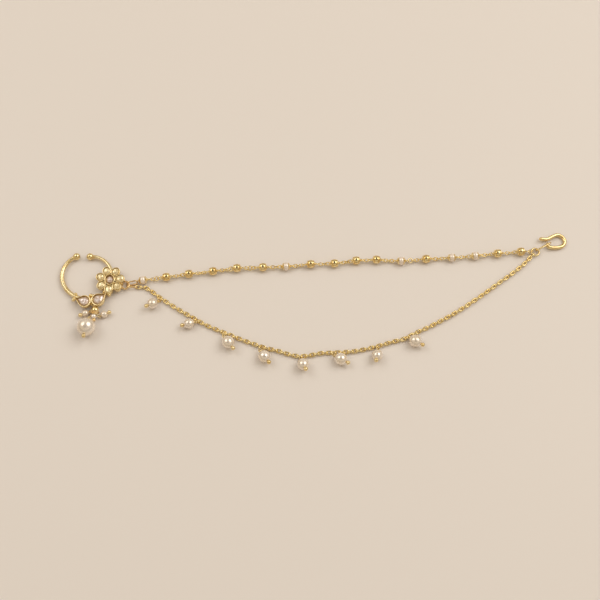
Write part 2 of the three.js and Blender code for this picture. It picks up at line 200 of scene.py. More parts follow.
def makeNacre():  # the cloudy bands and warm blush of a pearl
    inputs = dict(Body=(1, 1, 1, 1), Blush=(1, 0.9, 0.85, 1))
    group, given, made = newGroup("nacre", inputs, ["Colour", "Roughness"])
    place = objectPlace(group)
    clouds = addRange(group, addNoise(group, 260, 2, place), 0.35, 0.7)
    skin = addNoise(group, 500, 1, place)
    rough = group.nodes.new("ShaderNodeMapRange")
    setInputs(rough, {"To Min": 0.20, "To Max": 0.34})
    group.links.new(skin, rough.inputs["Value"])
    colour = addMix(group, clouds, given["Body"], given["Blush"])
    group.links.new(colour, made["Colour"])
    group.links.new(rough.outputs["Result"], made["Roughness"])
    return group


def makeGemCloudsAndShade():  # cloudy body, with painted shade that darkens it by the setting
    inputs = dict(Middle=(1, 1, 1, 1), Second=(1, 1, 0.8, 1), PaintedShade=(0.3, 0.2, 0.1, 1), Scale=900)
    group, given, made = newGroup("gemCloudsAndShade", inputs, ["Colour"])
    place = objectPlace(group)
    texture = group.nodes.new("ShaderNodeTexNoise")
    setInputs(texture, dict(Detail=1))
    group.links.new(place, texture.inputs["Vector"])
    group.links.new(given["Scale"], texture.inputs["Scale"])
    clouds = addRange(group, texture.outputs["Fac"], 0.4, 0.62)
    # painted shade: the rimShade attribute darkens the stone towards the setting's wall, where the cup
    # shades it
    rim = group.nodes.new("ShaderNodeAttribute")
    rim.attribute_name = "rimShade"
    inner = addMix(group, clouds, given["Middle"], given["Second"])
    group.links.new(addMix(group, rim.outputs["Fac"], inner, given["PaintedShade"]), made["Colour"])
    return group


metalWear, nacre, gemCloudsAndShade = makeMetalWear(), makeNacre(), makeGemCloudsAndShade()


# ---- finishes: materials

bumpDepth = 0.02

def newMaterial(name, group, values, links, bump=0.0):
    material, shader = plainMaterial(name)
    tree = material.node_tree
    effect = tree.nodes.new("ShaderNodeGroup")
    effect.node_tree = group
    setInputs(effect, values)
    for label, socket in links.items():
        tree.links.new(effect.outputs[label], shader.inputs[socket])
    if bump:
        relief = tree.nodes.new("ShaderNodeBump")
        setInputs(relief, dict(Strength=bump, Distance=bumpDepth * mm))
        tree.links.new(effect.outputs["Height"], relief.inputs["Height"])
        tree.links.new(relief.outputs["Normal"], shader.inputs["Normal"])
    return material, shader


def newMetal(name, bright, dull, polish, haze, bump):
    values = dict(Bright=(*bright, 1), Dull=(*dull, 1), Polish=polish, Haze=haze)
    links = dict(Colour="Base Color", Roughness="Roughness")
    material, shader = newMaterial(name, metalWear, values, links, bump)
    setInputs(shader, dict(Metallic=1))
    return material


def newPearl(name, body, blush, lustre):
    values = dict(Body=(*body, 1), Blush=(*blush, 1))
    links = dict(Colour="Base Color", Roughness="Roughness")
    material, shader = newMaterial(name, nacre, values, links)
    setInputs(shader, {"Metallic": lustre, "IOR": 1.66, "Coat Weight": 0.6, "Coat Roughness": 0.15})
    return material


# edge is the colour of the painted shade by the setting
def newGem(name, middle, second, edge, scale, transmission, roughness, foil):
    values = dict(Middle=(*middle, 1), Second=(*second, 1), PaintedShade=(*edge, 1), Scale=scale)
    material, shader = newMaterial(name, gemCloudsAndShade, values, dict(Colour="Base Color"))
    setInputs(shader, {
        "Transmission Weight": transmission, "Metallic": foil, "Roughness": roughness, "IOR": 1.9,
        "Coat Weight": 0.8, "Coat IOR": 1.8, "Coat Roughness": 0.05,
    })
    return material


polishedGold = newMetal("polishedGold", (0.95, 0.79, 0.44), (0.84, 0.62, 0.27), 0.12, 0.24, 0.1)
brushedGold = newMetal("brushedGold", (0.95, 0.81, 0.50), (0.83, 0.63, 0.29), 0.18, 0.34, 0.9)
castGold = newMetal("castGold", (0.95, 0.80, 0.47), (0.85, 0.64, 0.29), 0.15, 0.30, 0.3)
chainGold = newMetal("chainGold", (0.98, 0.81, 0.43), (0.90, 0.68, 0.28), 0.14, 0.28, 0.2)
roseGold = newMetal("roseGold", (0.95, 0.72, 0.38), (0.85, 0.57, 0.25), 0.15, 0.30, 0.2)
pearlShell = newPearl("pearlShell", (0.93, 0.85, 0.76), (0.90, 0.78, 0.62), 0.55)
paleCrystal = newPearl("paleCrystal", (0.91, 0.81, 0.71), (0.89, 0.75, 0.61), 0.35)
# the third colour of each gem is its painted shade by the setting
champagneGlass = newGem(
    "champagneGlass", (1.0, 0.87, 0.51), (0.90, 0.67, 0.31), (0.44, 0.29, 0.09), 1500, 0.05, 0.08, 0.35)
clearGlass = newGem(
    "clearGlass", (1.0, 0.90, 0.87), (0.72, 0.53, 0.42), (0.46, 0.28, 0.10), 1100, 0.10, 0.06, 0.25)
print("materials made")


# ---- modelling helpers

nearby = 0.01  # mm: corners this close to a level are on it


def at(x, y, z=0.0):
    return origin + Vector((x, y, z)) * mm


def spotOf(row):  # a row's own x, y and z, in metres
    return Vector((row["x"], row["y"], row["z"])) * mm


def turned(degrees, axis):
    return Matrix.Rotation(math.radians(degrees), 4, axis)


def standing(place, turnDeg, leanDeg=0.0):  # turned about Z, and leaning about its own X
    return Matrix.Translation(place) @ turned(turnDeg, "Z") @ turned(leanDeg, "X")


def deselectAll():
    if bpy.context.mode != "OBJECT":
        bpy.ops.object.mode_set(mode="OBJECT")
    bpy.ops.object.select_all(action="DESELECT")


def choose(piece):
    deselectAll()
    piece.select_set(True)
    bpy.context.view_layer.objects.active = piece
    return piece


def started(name):
    piece = bpy.context.object
    piece.name = name
    piece.data.name = name
    bpy.ops.object.transform_apply()
    return piece


def openMesh(piece, mode="FACE"):
    choose(piece)
    bpy.ops.object.mode_set(mode="EDIT")
    bpy.ops.mesh.select_mode(type=mode)
    bpy.ops.mesh.select_all(action="DESELECT")
    return bmesh.from_edit_mesh(piece.data)


def openWhole(piece):  # edit mode, with everything selected
    openMesh(piece)
    bpy.ops.mesh.select_all(action="SELECT")


def pick(piece, elements, rule):  # selects what the rule accepts, in edit mode
    for element in elements:
        element.select_set(bool(rule(element)))
    mesh = bmesh.from_edit_mesh(piece.data)
    mesh.select_flush_mode()
    bmesh.update_edit_mesh(piece.data)


def closeMesh():
    bpy.ops.mesh.select_all(action="SELECT")
    bpy.ops.mesh.normals_make_consistent(inside=False)
    bpy.ops.mesh.select_all(action="DESELECT")
    bpy.ops.object.mode_set(mode="OBJECT")


def put(piece, matrix):
    choose(piece)
    piece.matrix_world = matrix
    bpy.ops.object.transform_apply()
    return piece


def copied(master, name, matrix=None):
    twin = master.copy()
    twin.data = master.data.copy()
    twin.name = name
    twin.data.name = name
    scene.collection.objects.link(twin)
    return put(twin, matrix) if matrix is not None else twin


def stoodCopy(master, name, matrix):  # for joining, which applies its place
    twin = copied(master, name)
    twin.matrix_world = matrix
    return twin


def removed(piece):
    bpy.data.objects.remove(piece, do_unlink=True)


def joinedAs(name, pieces):
    choose(pieces[0])
    for piece in pieces:
        piece.select_set(True)
    bpy.ops.object.join()
    whole = bpy.context.object
    whole.name = name
    whole.data.name = name
    bpy.ops.object.transform_apply()
    return whole


def fusedAs(name, pieces):  # soldered together, with nothing left inside
    whole = pieces[0]
    for piece in pieces[1:]:
        choose(whole)
        union = whole.modifiers.new("solder", "BOOLEAN")
        union.operation = "UNION"
        union.solver = "EXACT"
        union.object = piece
        bpy.ops.object.modifier_apply(modifier=union.name)
        removed(piece)
    whole.name = name
    whole.data.name = name
    return whole


def smooth(piece, degrees):  # edges sharper than this stay crisp
    choose(piece)
    bpy.ops.object.shade_smooth_by_angle(angle=math.radians(degrees))
    return piece


def softened(piece):  # smooth all over
    choose(piece)
    bpy.ops.object.shade_smooth()
    return piece


def newBall(name, radius, segments, rings, turnDeg=(0, 0, 0)):  # the turn lays its poles along X or Y
    deselectAll()
    turn = [math.radians(deg) for deg in turnDeg]
    bpy.ops.mesh.primitive_uv_sphere_add(
        segments=segments, ring_count=rings, radius=radius * mm, rotation=turn)
    return started(name)


def fitted(piece, material, slot, *nodes):
    piece.data.materials.clear()
    piece.data.materials.append(material)
    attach(piece, "root")
    if nodes:
        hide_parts(*nodes)
    return piece


wireTip = dict(steps=4, stepDeg=21)


def soldered(piece, stand, metal):  # one of the pieces that make up the nose ring's solid
    return fitted(put(piece, stand), metal, "gold", "nose_ring")


def bentWire(name, points, radius, widths=None, sides=12, closed=False, tips=True):  # all in metres
    places = [Vector(point) for point in points]
    sizes = list(widths or [1.0] * len(places))
    if tips and not closed:  # rounds both cut ends
        for end in (0, -1):
            inward = (places[1] - places[0]) if end == 0 else (places[-2] - places[-1])
            outward = -inward.normalized()
            tip, width = places[end].copy(), sizes[end]
            for step in range(1, wireTip["steps"] + 1):
                turn = math.radians(wireTip["stepDeg"] * step)
                place = tip + outward * radius * width * math.sin(turn)
                if end == 0:
                    places.insert(0, place)
                    sizes.insert(0, width * math.cos(turn))
                else:
                    places.append(place)
                    sizes.append(width * math.cos(turn))
    deselectAll()
    bpy.ops.curve.primitive_nurbs_path_add()
    wire = bpy.context.object
    wire.data.splines.clear()
    line = wire.data.splines.new("POLY")
    line.points.add(len(places) - 1)
    for knot, place, size in zip(line.points, places, sizes):
        knot.co = (*place, 1)
        knot.radius = size
    line.use_cyclic_u = closed
    wire.data.twist_mode = "Z_UP"
    wire.data.bevel_depth = radius
    wire.data.bevel_resolution = sides // 2 - 2
    wire.data.use_fill_caps = not closed
    bpy.ops.object.convert(target="MESH")
    wire = started(name)
    openMesh(wire)
    closeMesh()
    return softened(wire)


def throughPoints(points, steps):  # a centripetal curve through the points, sampled evenly in each span
    places = [Vector(point) for point in points]
    places = [2 * places[0] - places[1]] + places + [2 * places[-1] - places[-2]]
    samples = []
    for first, second, third, fourth in zip(places, places[1:], places[2:], places[3:]):
        t1 = (second - first).length ** 0.5
        t2 = t1 + (third - second).length ** 0.5
        t3 = t2 + (fourth - third).length ** 0.5
        for step in range(steps):
            t = t1 + (t2 - t1) * step / steps
            a1 = first.lerp(second, t / t1)
            a2 = second.lerp(third, (t - t1) / (t2 - t1))
            a3 = third.lerp(fourth, (t - t2) / (t3 - t2))
            b1 = a1.lerp(a2, t / t2)
            b2 = a2.lerp(a3, (t - t1) / (t3 - t1))
            samples.append(b1.lerp(b2, (t - t1) / (t2 - t1)))
    return samples + [places[-2].copy()]


def evenly(line, pitch, group=1):  # places along a line, the same distance apart, with their directions
    lengths = [0.0]
    for before, after in zip(line, line[1:]):
        lengths.append(lengths[-1] + (after - before).length)
    count = max(1, round(lengths[-1] / pitch / group)) * group
    places, index = [], 0
    for i in range(count):
        wanted = lengths[-1] * (i + 0.5) / count
        while lengths[index + 1] < wanted:
            index += 1
        share = (wanted - lengths[index]) / (lengths[index + 1] - lengths[index])
        direction = (line[index + 1] - line[index]).normalized()
        places.append((line[index].lerp(line[index + 1], share), direction))
    return places


def alongX(direction):  # turns +X to a direction, keeping +Z up
    side = Vector((0, 0, 1)).cross(direction).normalized()
    up = direction.cross(side)
    return Matrix((direction, side, up)).transposed().to_4x4()


def threaded(place, direction, rollDeg=0.0):  # +X along a direction, and rolled about it
    return Matrix.Translation(place) @ alongX(direction) @ turned(rollDeg, "X")


def extrudeRings(steps, axis):  # steps: distance along the axis, and the ring's radius
    along, reach = steps[0]
    for nextAlong, nextReach in steps[1:]:
        step, spread = (nextAlong - along) * mm, nextReach / reach
        move = {"value": [part * step for part in axis]}
        bpy.ops.mesh.extrude_edges_move(TRANSFORM_OT_translate=move)
        size = [1 if part else spread for part in axis]
        bpy.ops.transform.resize(value=size, center_override=(0, 0, 0))
        along, reach = nextAlong, nextReach


def turnedShell(name, steps, sides):  # rings of changing radius along +X, closed at both ends
    along, reach = steps[0]
    deselectAll()
    bpy.ops.mesh.primitive_circle_add(
        vertices=sides, radius=reach * mm, location=(along * mm, 0, 0), rotation=(0, math.pi / 2, 0))
    shell = started(name)
    openWhole(shell)
    extrudeRings(steps, (1, 0, 0))
    mesh = openMesh(shell, "EDGE")
    pick(shell, mesh.edges, lambda edge: edge.is_boundary)
    bpy.ops.mesh.edge_face_add()
    closeMesh()
    return shell


def bothWays(half):  # a turned outline that is the same out to either end
    return [(-along, reach) for along, reach in reversed(half)] + half


# ---- nose ring: hoop and its balls

hoop = dict(
    x=-93.25, y=10.0, long=10.6, short=9.6, longDeg=150, startDeg=119.5, endDeg=447,
    bendFromDeg=405, bend=0.85, thinWire=0.68, thickWire=0.91, heaviestDeg=215,
    tiltDeg=1, ballY=8.9, ballRadius=1.45, flatRadius=0.45, collarRadius=0.8,
    millFromDeg=178, millToDeg=236, millEveryDeg=4.2, millDepth=0.05, millSharpness=8, stepDeg=0.7,
    flatBevel=0.08, collarHeight=0.5, collarInset=0.1, collarRise=0.08, collarAway=0.08,
)
hoopHeight = hoop["ballRadius"] - hoop["ballY"] * math.sin(math.radians(hoop["tiltDeg"]))
hoopFrame = Matrix.Translation(at(hoop["x"], hoop["y"], hoopHeight)) @ turned(hoop["tiltDeg"], "X")


def hoopPoint(deg):
    fromLong = math.radians(deg - hoop["longDeg"])
    across = math.hypot(hoop["short"] * math.cos(fromLong), hoop["long"] * math.sin(fromLong))
    late = max(0.0, (deg - hoop["bendFromDeg"]) / (hoop["endDeg"] - hoop["bendFromDeg"]))
    radius = hoop["long"] * hoop["short"] / across - hoop["bend"] * late * late
    turn = math.radians(deg)
    return Vector((radius * math.cos(turn), radius * math.sin(turn), 0)) * mm


def hoopWidth(deg):  # heavier at the lower left, where it is milled
    weight = (1 + math.cos(math.radians(deg - hoop["heaviestDeg"]))) / 2
    width = hoop["thinWire"] + (hoop["thickWire"] - hoop["thinWire"]) * weight * weight
    if hoop["millFromDeg"] < deg < hoop["millToDeg"]:
        past = deg - hoop["millFromDeg"]
        share = past / (hoop["millToDeg"] - hoop["millFromDeg"])
        groove = math.cos(math.pi * past / hoop["millEveryDeg"]) ** hoop["millSharpness"]
        width -= hoop["millDepth"] * groove * math.sin(math.pi * share) ** 0.5
    return width


def addHoop():
    count = round((hoop["endDeg"] - hoop["startDeg"]) / hoop["stepDeg"])
    span = (hoop["endDeg"] - hoop["startDeg"]) / count
    degrees = [hoop["startDeg"] + span * i for i in range(count + 1)]
    wire = bentWire("hoopWire", [hoopPoint(deg) for deg in degrees], mm,
                    widths=[hoopWidth(deg) for deg in degrees], sides=20, tips=False)
    soldered(wire, hoopFrame, brushedGold)
    for name, deg, side in (("hoopBallLeft", hoop["startDeg"], 1), ("hoopBallRight", hoop["endDeg"], -1)):
        soldered(endBall(name, deg, side), hoopFrame, polishedGold)


def endBall(name, deg, side):  # a polished ball with a small flat that faces the gap
    ball = newBall(name, hoop["ballRadius"], 40, 24, (0, 90, 0))
    flat = math.sqrt(hoop["ballRadius"] ** 2 - hoop["flatRadius"] ** 2) * mm
    openWhole(ball)
    bpy.ops.mesh.bisect(plane_co=(side * flat, 0, 0), plane_no=(side, 0, 0), use_fill=True, clear_outer=True)
    rim = openMesh(ball, "EDGE")
    pick(ball, rim.edges, lambda edge: all(abs(v.co.x - side * flat) < nearby * mm for v in edge.verts))
    bpy.ops.mesh.bevel(offset=hoop["flatBevel"] * mm, segments=2, affect="EDGES")
    closeMesh()
    away = Vector((-math.sin(math.radians(deg)), math.cos(math.radians(deg)), 0)) * (1 if side > 0 else -1)
    deselectAll()
    bpy.ops.mesh.primitive_cylinder_add(
        vertices=32, radius=hoop["collarRadius"] * mm, depth=hoop["collarHeight"] * mm)
    collar = started(name + "Collar")
    ends = openMesh(collar)
    pick(collar, ends.faces, lambda face: abs(face.normal.z) > 0.9)
    bpy.ops.mesh.inset(thickness=hoop["collarInset"] * mm, depth=hoop["collarRise"] * mm)
    closeMesh()
    seat = away * (hoop["ballRadius"] + hoop["collarAway"]) * mm
    put(collar, Matrix.Translation(seat) @ away.to_track_quat("Z", "Y").to_matrix().to_4x4())
    ball = fusedAs(name, [ball, collar])
    smooth(ball, 35)
    return put(ball, Matrix.Translation(hoopPoint(deg)))


addHoop()
print("hoop made")


# ---- nose ring: flower and teardrop settings

flower = dict(
    x=9.7, y=-2.1, z=0.65, tiltDeg=3, petals=7, firstPetalDeg=8, petalRing=4.0,
    petalLong=1.98, petalWide=1.75, wall=0.3, plate=0.5, rimHeight=1.1,
    centreLong=2.3, centreWide=2.1, centreHeight=1.6, centreWall=0.36, points=40,
)
flowerFrame = hoopFrame @ Matrix.Translation(spotOf(flower)) @ turned(flower["tiltDeg"], "X")
teardrop = dict(
    length=7.0, width=5.0, wall=0.33, plate=0.4, rimHeight=1.3, z=0.75,
    tipWalls=3.0,  # the opening is shorter than the outline by this many walls
    cupPoints=14, stonePoints=6, places=[
        dict(name="Left", node="teardrop_stone_left", x=-0.75, y=-11.2, turnDeg=163),
        dict(name="Right", node="teardrop_stone_right", x=6.1, y=-10.2, turnDeg=41),
    ],
)


def ovalOutline(halfX, halfY, count):
    turns = [2 * math.pi * i / count for i in range(count)]
    return [Vector((halfX * math.cos(turn), halfY * math.sin(turn), 0)) * mm for turn in turns]


def cubic(a, b, c, d, t):
    return a * (1 - t) ** 3 + 3 * b * t * (1 - t) ** 2 + 3 * c * t * t * (1 - t) + d * t ** 3


def teardropOutline(length, width, count):  # the point is at +X and the round end at -X
    half = length / 2
    spans = [
        [(half, 0), (half * 0.45, width * 0.12), (half * 0.3, width / 2), (-half * 0.25, width / 2)],
        [(-half * 0.25, width / 2), (-half * 0.75, width / 2), (-half, width * 0.3), (-half, 0)],
    ]
    upper = []
    for span in spans:
        corners = [Vector((*corner, 0)) * mm for corner in span]
        upper += [cubic(*corners, i / count) for i in range(count)]
    upper.append(Vector((-half, 0, 0)) * mm)
    lower = [Vector((place.x, -place.y, 0)) for place in reversed(upper[1:-1])]
    return upper + lower


def outlinedFace(name, outline):
    deselectAll()
    bpy.ops.mesh.primitive_circle_add(vertices=len(outline), radius=mm, fill_type="NGON")
    piece = started(name)
    for vertex, place in zip(piece.data.vertices, outline):
        vertex.co = place
    return piece


def extrudeUp(height):
    bpy.ops.mesh.extrude_region_move(TRANSFORM_OT_translate={"value": (0, 0, height * mm)})


rimRounding = 0.42  # share of the wall's thickness


def cup(name, outer, inner, plate, rimHeight):  # a tray with a rounded rim
    piece = outlinedFace(name, outer)
    openWhole(piece)
    extrudeUp(plate + rimHeight)
    extrudeUp(0)
    mesh = bmesh.from_edit_mesh(piece.data)
    for vertex in mesh.verts:  # the opening's own outline
        if vertex.select:
            nearest = min(range(len(outer)), key=lambda i: (outer[i].xy - vertex.co.xy).length)
            vertex.co.xy = inner[nearest].xy
    bmesh.update_edit_mesh(piece.data)
    extrudeUp(-rimHeight)
    mesh = openMesh(piece, "EDGE")
    top = (plate + rimHeight) * mm
    wall = min((a.xy - b.xy).length for a, b in zip(outer, inner))

    def onRim(edge):
        level = all(abs(v.co.z - top) < nearby * mm for v in edge.verts)
        return level and any(abs(face.normal.z) < 0.3 for face in edge.link_faces)

    pick(piece, mesh.edges, onRim)
    bpy.ops.mesh.bevel(offset=wall * rimRounding, segments=4, affect="EDGES")
    closeMesh()
    return piece


def petalFrame(index):
    turn = 2 * math.pi * index / flower["petals"] + math.radians(flower["firstPetalDeg"])
    return Matrix.Rotation(turn, 4, "Z") @ Matrix.Translation((flower["petalRing"] * mm, 0, 0))


def ovalPair(halfX, halfY, wall):
    count = flower["points"]
    return ovalOutline(halfX, halfY, count), ovalOutline(halfX - wall, halfY - wall, count)


def teardropPair(wall, count):
    length, width = teardrop["length"], teardrop["width"]
    inner = teardropOutline(length - teardrop["tipWalls"] * wall, width - 2 * wall, count)
    return teardropOutline(length, width, count), inner


def teardropFrame(place):
    spot = Vector((place["x"], place["y"], teardrop["z"])) * mm
    return hoopFrame @ standing(spot, place["turnDeg"])


def addFlower():
    outer, inner = ovalPair(flower["petalLong"], flower["petalWide"], flower["wall"])
    petal = cup("petalCup", outer, inner, flower["plate"], flower["rimHeight"])
    cups = [copied(petal, f"petalCup{i}", petalFrame(i)) for i in range(flower["petals"])]
    removed(petal)
    outer, inner = ovalPair(flower["centreWide"], flower["centreLong"], flower["centreWall"])
    centre = cup("centreCup", outer, inner, flower["plate"], flower["centreHeight"])
    setting = joinedAs("flowerSetting", cups + [centre])
    soldered(smooth(setting, 50), flowerFrame, castGold)


def addTeardrops():
    for place in teardrop["places"]:
        outer, inner = teardropPair(teardrop["wall"], teardrop["cupPoints"])
        name = "teardropSetting" + place["name"]
        setting = cup(name, outer, inner, teardrop["plate"], teardrop["rimHeight"])
        soldered(smooth(setting, 50), teardropFrame(place), castGold)


addFlower()
addTeardrops()
print("settings made")


# ---- stones

stones = dict(  # each step of a stone: its share of the outline, its height in mm, its dark rim shade
    petalSteps=[(1.0, 0.66, 0.9), (0.95, 0.74, 0.6), (0.84, 1.02, 0.1), (0.6, 1.26, 0), (0.28, 1.36, 0)],
    centreSteps=[(1.0, 0.55, 1), (0.84, 0.60, 1), (0.74, 1.00, 0.75), (0.56, 1.42, 0.1), (0.28, 1.62, 0)],
    teardropSteps=[(1.0, 0.55, 1), (0.88, 0.62, 0.9), (0.74, 1.05, 0.55), (0.48, 1.36, 0), (0.22, 1.50, 0)],
    petalPoints=12, centrePoints=16, gap=0.02, seat=0.05, jitter=0.13, mostRise=0.3, teardropMiddle=-0.7,
    crownRow=2,  # the facets' corners from this step up are moved about a little
)


def cutStone(name, outline, steps, middle, seed):  # a flat-backed stone with rows of facets
    piece = outlinedFace(name, outline)
    shades = [(0.0, 1.0)]
    openWhole(piece)
    reached, size = 0.0, 1.0
    for share, height, shade in steps:
        extrudeUp(height - reached)
        shrink = share / size
        bpy.ops.transform.resize(value=(shrink, shrink, 1), center_override=(middle * mm, 0, 0))
        reached, size = height, share
        shades.append((height, shade))
    bpy.ops.mesh.poke()
    closeMesh()
    # rimShade is painted shade: each step's value, darkest at the outline by the setting's wall
    rim = piece.data.attributes.new("rimShade", "FLOAT", "POINT")
    draw = random.Random(seed)
    for vertex, value in zip(piece.data.vertices, rim.data):
        value.value = min(shades, key=lambda row: abs(row[0] * mm - vertex.co.z))[1]
        if vertex.co.z > steps[stones["crownRow"]][1] * 0.95 * mm:
            rise = stones["mostRise"]
            shift = Vector((draw.uniform(-1, 1), draw.uniform(-1, 1), draw.uniform(-1, rise)))
            vertex.co += shift * stones["jitter"] * mm
    return smooth(piece, 12)


def addStones():
    seat = Matrix.Translation((0, 0, (flower["plate"] + stones["seat"]) * mm))
    trim = flower["wall"] + stones["gap"]
    outline = ovalOutline(flower["petalLong"] - trim, flower["petalWide"] - trim, stones["petalPoints"])
    for i in range(flower["petals"]):
        stone = cutStone(f"petalStone{i + 1}", outline, stones["petalSteps"], 0, 20 + i)
        fitted(put(stone, flowerFrame @ petalFrame(i) @ seat), champagneGlass,
               "champagne_stone", f"petal_stone_{i + 1}")
    trim = flower["centreWall"] + stones["gap"]
    outline = ovalOutline(flower["centreWide"] - trim, flower["centreLong"] - trim, stones["centrePoints"])
    stone = cutStone("centreStone", outline, stones["centreSteps"], 0, 40)
    fitted(put(stone, flowerFrame @ seat), clearGlass, "clear_stone", "centre_stone")
    seat = Matrix.Translation((0, 0, (teardrop["plate"] + stones["seat"]) * mm))
    for place in teardrop["places"]:
        outline = teardropPair(teardrop["wall"] + stones["gap"], teardrop["stonePoints"])[1]
        stone = cutStone("teardropStone" + place["name"], outline, stones["teardropSteps"],
                        stones["teardropMiddle"], 50)
        fitted(put(stone, teardropFrame(place) @ seat), clearGlass, "clear_stone", place["node"])


addStones()
print("stones set")


# ---- nose ring: granules, lug and cluster loop

trimmings = dict(
    granules=[  # x, y and z from the hoop's centre, and radius
        (-4.05, -8.0, 0.6, 0.8), (-4.7, -10.25, 0.6, 0.8), (2.1, -8.5, 0.8, 0.75),
        (3.1, -8.7, 0.9, 0.75), (9.6, -8.1, 0.7, 0.8), (7.4, -7.0, 0.95, 0.5),
    ],
    flowerLug=dict(x=13.96, y=-3.4, z=-0.1, radius=0.85, wire=0.2, turnDeg=0),
    clusterLoop=dict(x=2.85, y=-12.2, z=0.75, radius=0.55, wire=0.2, turnDeg=100),
    footSquash=0.6,
)


def wireRing(name, radius, wire, segments=28, sides=10, gapDeg=0.0):  # lies flat; a gap leaves it cut
    span = 360 - gapDeg
    turns = [math.radians(gapDeg / 2 + span * i / segments) for i in range(segments + (1 if gapDeg else 0))]
    points = [Vector((math.cos(turn), math.sin(turn), 0)) * radius * mm for turn in turns]
    return bentWire(name, points, wire * mm, sides=sides, closed=not gapDeg, tips=False)


def addTrimmings():
    for i, (x, y, z, radius) in enumerate(trimmings["granules"]):
        deselectAll()
        bpy.ops.mesh.primitive_ico_sphere_add(subdivisions=4, radius=radius * mm)
        granule = started(f"granule{i + 1}")
        foot = openMesh(granule)
        pick(granule, foot.faces, lambda face: face.normal.z < -0.8)
        bpy.ops.transform.resize(value=(1, 1, trimmings["footSquash"]))
        closeMesh()
        stand = hoopFrame @ Matrix.Translation(Vector((x, y, z)) * mm)
        soldered(smooth(granule, 60), stand, castGold)
    for name in ("flowerLug", "clusterLoop"):
        row = trimmings[name]
        eye = wireRing(name, row["radius"], row["wire"])
        soldered(eye, hoopFrame @ standing(spotOf(row), row["turnDeg"], 90), castGold)


addTrimmings()
print("granules and loops made")


# ---- pearls and head pins

pearlShape = dict(segments=48, rings=32, mouth=0.11, bore=0.35, lip=0.04, unevenness=0.012, ripple=1.1)
pin = dict(
    wire=0.18, ball=0.84, loop=0.42, neck=0.15, sunk=0.15,
    dimple=0.4, dimpleLip=0.04, dimpleDepth=0.06,  # in the ball's end: its share of the radius first
    wrapWire=0.09, wrapRadius=0.26, wrapPitch=0.14, wrapStart=0.02,
)
clusterDrops = [
    dict(name="clusterLeft", node="cluster_left", x=-92.75, y=-6.0, across=1.4, along=1.45,
         turnDeg=205, riseDeg=6),
    dict(name="clusterRight", node="cluster_right", x=-85.1, y=-6.5, across=1.4, along=1.45,
         turnDeg=22, riseDeg=6),
    dict(name="large", node="large", x=-91.5, y=-12.6, across=3.7, along=3.75, turnDeg=-96, riseDeg=15),
]
chainDrops = [
    dict(x=-65.9, y=-2.1, across=2.12, along=2.22, turnDeg=-147, riseDeg=24),
    dict(x=-50.8, y=-10.7, across=2.06, along=2.16, turnDeg=-164, riseDeg=4),
    dict(x=-34.9, y=-18.7, across=2.46, along=2.66, turnDeg=-53, riseDeg=7),
    dict(x=-20.5, y=-24.6, across=2.37, along=2.56, turnDeg=-54, riseDeg=10),
    dict(x=-5.2, y=-27.9, across=2.36, along=2.48, turnDeg=-67, riseDeg=32),
    dict(x=9.7, y=-25.7, across=2.4, along=2.56, turnDeg=-30, riseDeg=5),
    dict(x=24.1, y=-24.1, across=2.17, along=2.33, turnDeg=-103, riseDeg=30),
    dict(x=39.4, y=-18.2, across=2.38, along=2.58, turnDeg=-31, riseDeg=5),
]


def pearl(name, across, along, seed):  # bored along Y, a little uneven as a grown pearl is
    piece = newBall(name, across, pearlShape["segments"], pearlShape["rings"], (90, 0, 0))
    openWhole(piece)
    bpy.ops.transform.resize(value=(1, along / across, 1))
    reach = pearlShape["mouth"] * across * mm
    mesh = openMesh(piece)
    pick(piece, mesh.faces, lambda face: all(math.hypot(v.co.x, v.co.z) < reach for v in face.verts))
    bpy.ops.mesh.inset(thickness=pearlShape["lip"] * mm, depth=-pearlShape["bore"] * mm)
    closeMesh()
    shift = Vector((seed * 3.7, seed * 1.9, seed * 5.3))
    for vertex in piece.data.vertices:
        wave = noise.noise(vertex.co / (across * mm) * pearlShape["ripple"] + shift)
        swell = wave * pearlShape["unevenness"]
        vertex.co *= 1 + swell - pearlShape["unevenness"]
    return softened(piece)


def headPin(name, along):  # ball at -Y, wire through the pearl, wrapped neck and loop at +Y
    ballY = -(along + pin["ball"] - pin["sunk"])
    loopY = along + pin["neck"] + pin["loop"]
    ball = newBall(name, pin["ball"], 28, 18, (90, 0, 0))
    mesh = openMesh(ball)
    reach = pin["ball"] * pin["dimple"] * mm
    pick(ball, mesh.faces,
         lambda face: face.normal.y < -0.5 and all(math.hypot(v.co.x, v.co.z) < reach for v in face.verts))
    bpy.ops.mesh.inset(thickness=pin["dimpleLip"] * mm, depth=-pin["dimpleDepth"] * mm)
    closeMesh()
    smooth(ball, 40)
    put(ball, Matrix.Translation((0, ballY * mm, 0)))
    stem = bentWire(name + "Stem", [(0, (ballY + 0.4) * mm, 0), (0, (loopY - pin["loop"]) * mm, 0)],
                    pin["wire"] * mm, sides=12, tips=False)
    turns = [math.radians(-90 + 12 * i) for i in range(29)]
    curl = [Vector((pin["loop"] * math.cos(t), loopY + pin["loop"] * math.sin(t), 0)) * mm for t in turns]
    loop = bentWire(name + "Loop", curl, pin["wire"] * mm, sides=12)
    neck = []
    for turn in [math.radians(24 * i) for i in range(26)]:
        level = along + pin["wrapStart"] + pin["wrapPitch"] * turn / (2 * math.pi)
        reach = pin["wrapRadius"]
        neck.append(Vector((reach * math.cos(turn), level, reach * math.sin(turn))) * mm)
    wrap = bentWire(name + "Wrap", neck, pin["wrapWire"] * mm, sides=8)
    return joinedAs(name, [ball, stem, loop, wrap])


def dropFrame(row):
    rise = math.radians(row["riseDeg"])
    height = math.hypot(row["across"] * math.cos(rise), row["along"] * math.sin(rise))
    return standing(at(row["x"], row["y"], height), row["turnDeg"] + 90, -row["riseDeg"])


